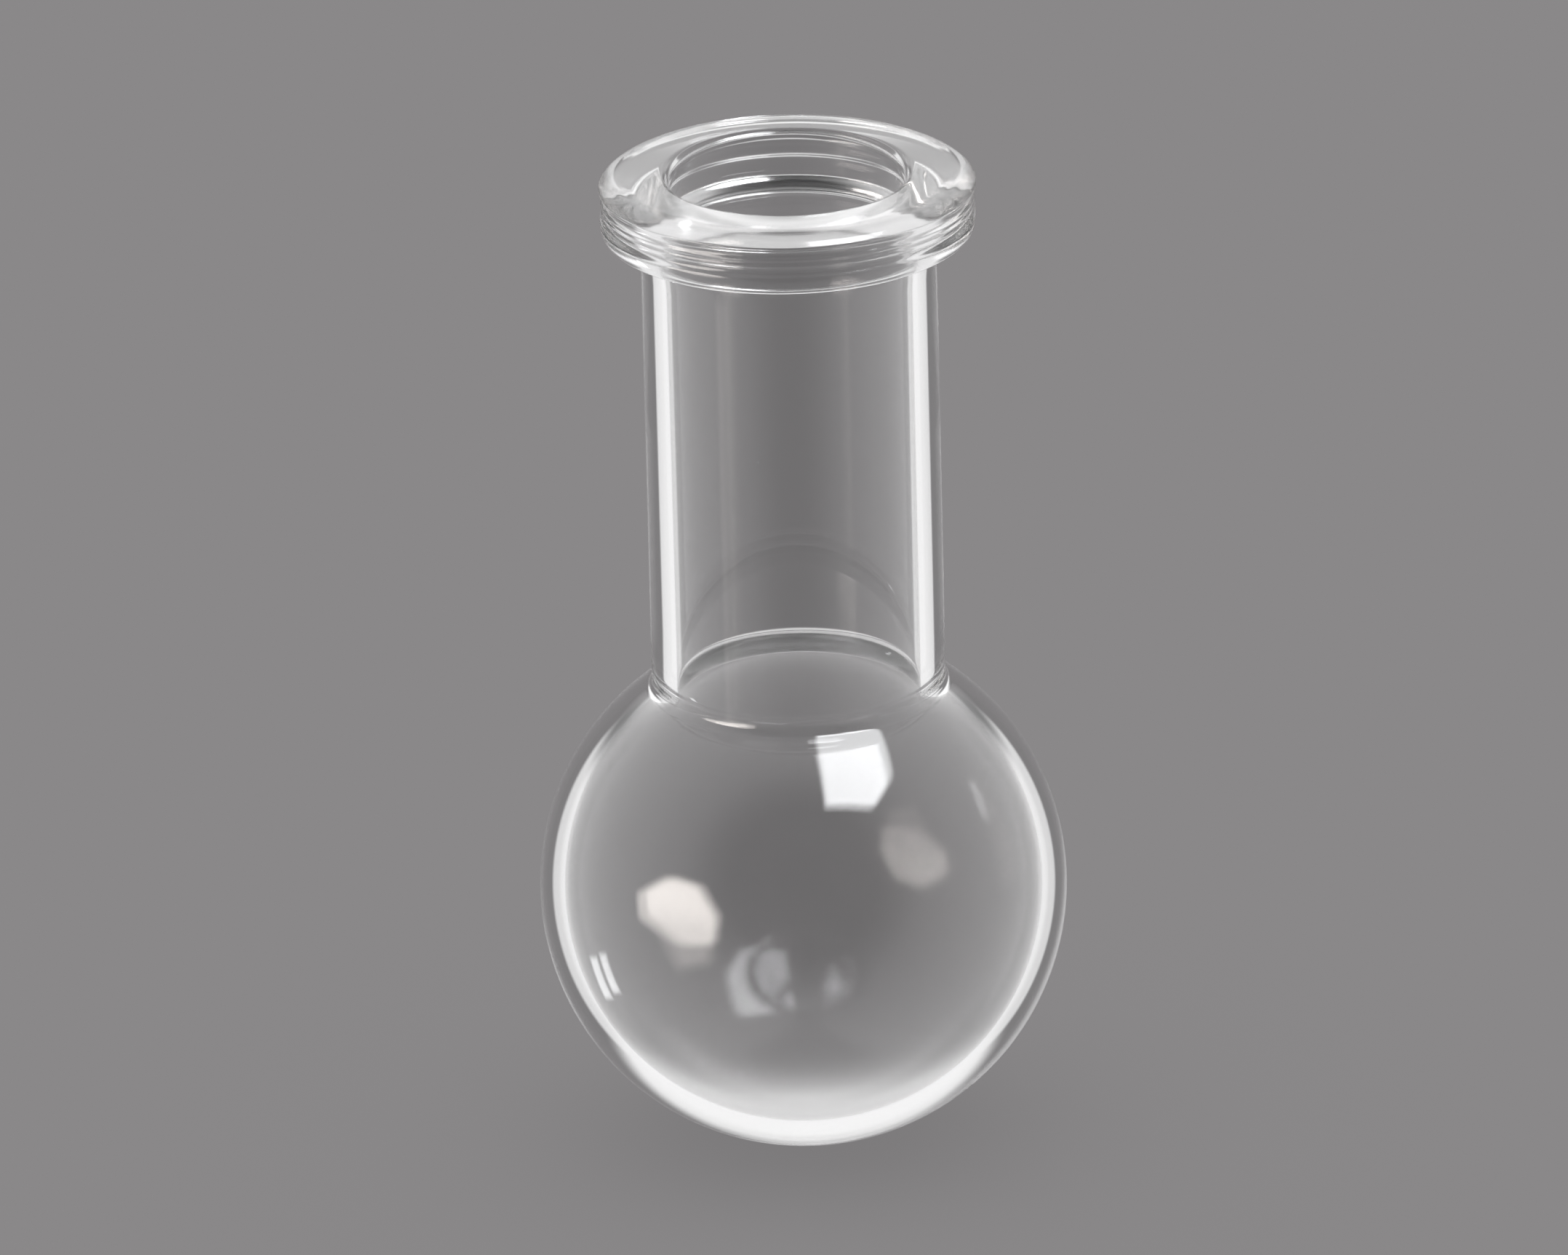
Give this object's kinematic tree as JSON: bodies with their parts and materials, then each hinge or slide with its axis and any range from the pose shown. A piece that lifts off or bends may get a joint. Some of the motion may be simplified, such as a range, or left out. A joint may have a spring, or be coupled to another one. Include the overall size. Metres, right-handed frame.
{
  "type": "round bottom flask",
  "caption": "Small heavy-walled round bottom flask: spherical glass bulb, straight wide neck and thick flat-topped rim flange, open at the mouth.",
  "frame": {"origin": "lowest point of the bulb, on the flask's axis of revolution", "axes": "+Z along the flask's axis, from the bulb up through the mouth; X and Y are any two directions square to it, because the flask is round"},
  "size_m": [0.051, 0.051, 0.0987],
  "materials": {
    "bulb_glass": "clear fire-polished borosilicate glass, faintly grey, smooth inside and out",
    "neck_glass": "clear fire-polished borosilicate tube, faintly grey, with very faint lengthwise drawing lines",
    "flange_glass": "clear fire-polished borosilicate rim, slightly uneven where it was gathered by hand"
  },
  "bodies": {
    "root": {"bulb": "bulb_glass", "neck": "neck_glass", "flange": "flange_glass"}
  },
  "joints": []
}
